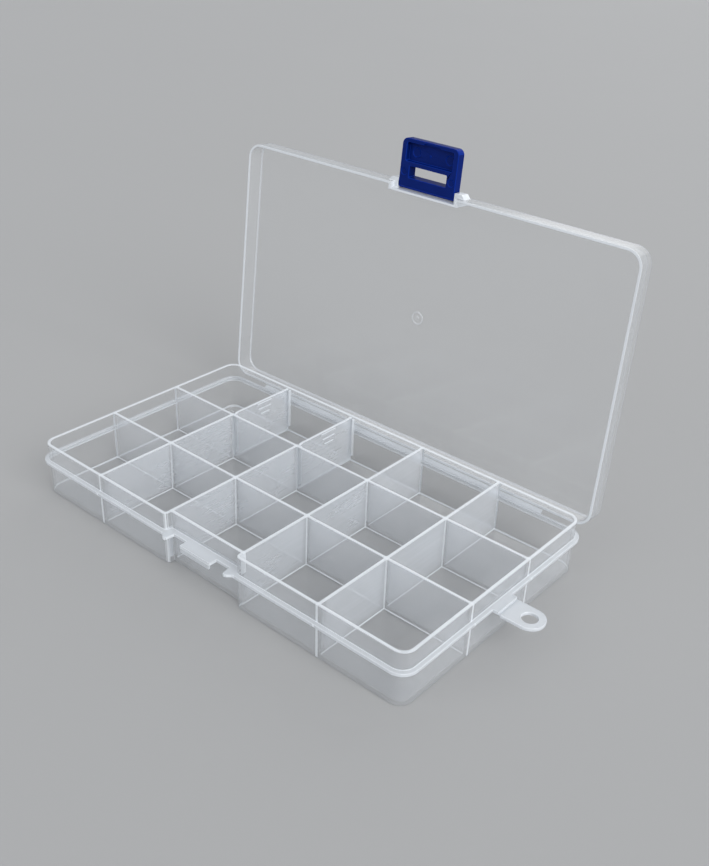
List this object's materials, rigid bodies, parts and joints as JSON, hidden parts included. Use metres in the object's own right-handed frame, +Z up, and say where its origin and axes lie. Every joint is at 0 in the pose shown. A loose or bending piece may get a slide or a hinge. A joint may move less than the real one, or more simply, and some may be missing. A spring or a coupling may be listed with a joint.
{
  "type": "compartment storage box",
  "caption": "Flat see-through storage box with a grid of compartments, a film-hinged lid, a snap latch, a hang tab and lift-out dividers.",
  "frame": {"origin": "middle of the tray's underside, where it rests", "axes": "+X right along the long front side, +Y to the rear (hinge side), +Z up; the lid stands open at 95 degrees"},
  "size_m": [0.1924, 0.12, 0.131],
  "materials": {
    "clear_plastic": "natural see-through polypropylene, slightly milky, smooth",
    "blue_plastic": "deep blue moulded polypropylene, satin"
  },
  "bodies": {
    "tray": {"tray_floor": "clear_plastic", "rear_wall": "clear_plastic", "left_wall": "clear_plastic", "right_wall": "clear_plastic", "front_wall_left": "clear_plastic", "front_wall_right": "clear_plastic", "recess_wall": "clear_plastic", "row_wall_front": "clear_plastic", "row_wall_rear": "clear_plastic", "column_wall_1_front": "clear_plastic", "column_wall_1_middle": "clear_plastic", "column_wall_2_front": "clear_plastic", "column_wall_2_middle": "clear_plastic", "column_wall_3_front": "clear_plastic", "column_wall_3_middle": "clear_plastic", "column_wall_3_rear": "clear_plastic", "column_wall_4_front": "clear_plastic", "column_wall_4_middle": "clear_plastic", "column_wall_4_rear": "clear_plastic", "ledge_rear": "clear_plastic", "ledge_left": "clear_plastic", "ledge_right": "clear_plastic", "ledge_front_left": "clear_plastic", "ledge_front_right": "clear_plastic", "ledge_recess": "clear_plastic", "latch_catch": "clear_plastic", "hang_tab_root": "clear_plastic", "guide_ribs_1": "clear_plastic", "guide_ribs_2": "clear_plastic", "hinge_web": "clear_plastic"},
    "lid": {"lid_panel": "clear_plastic", "lid_rear_skirt": "clear_plastic", "lid_left_skirt": "clear_plastic", "lid_right_skirt": "clear_plastic", "lid_front_skirt_left": "clear_plastic", "lid_front_skirt_right": "clear_plastic", "lid_notch_skirt": "clear_plastic", "latch_ear_left": "clear_plastic", "latch_ear_right": "clear_plastic"},
    "latch": {"latch": "blue_plastic"},
    "hang_tab": {"hang_tab": "clear_plastic"},
    "divider_1": {"divider_1": "clear_plastic"},
    "divider_2": {"divider_2": "clear_plastic"}
  },
  "joints": [
    {"name": "lid_hinge", "type": "hinge", "parent": "tray", "child": "lid", "pos_m": [0, 0.0512, 0.0138], "axis": [-1, 0, 0], "range_deg": [-95, 85], "deforming": ["hinge_web"]},
    {"name": "latch_hinge", "type": "hinge", "parent": "lid", "child": "latch", "pos_m": [0, 0.0642, 0.11415], "axis": [-1, 0, 0], "range_deg": [-90, 90]},
    {"name": "hang_tab_fold", "type": "hinge", "parent": "tray", "child": "hang_tab", "pos_m": [0.09075, -0.00115, 0.01315], "axis": [0, -1, 0], "range_deg": [-70, 80]},
    {"name": "divider_1_lift", "type": "slide", "parent": "tray", "child": "divider_1", "axis": [0, 0, 1], "range_m": [0, 0.025]},
    {"name": "divider_2_lift", "type": "slide", "parent": "tray", "child": "divider_2", "axis": [0, 0, 1], "range_m": [0, 0.025]}
  ]
}
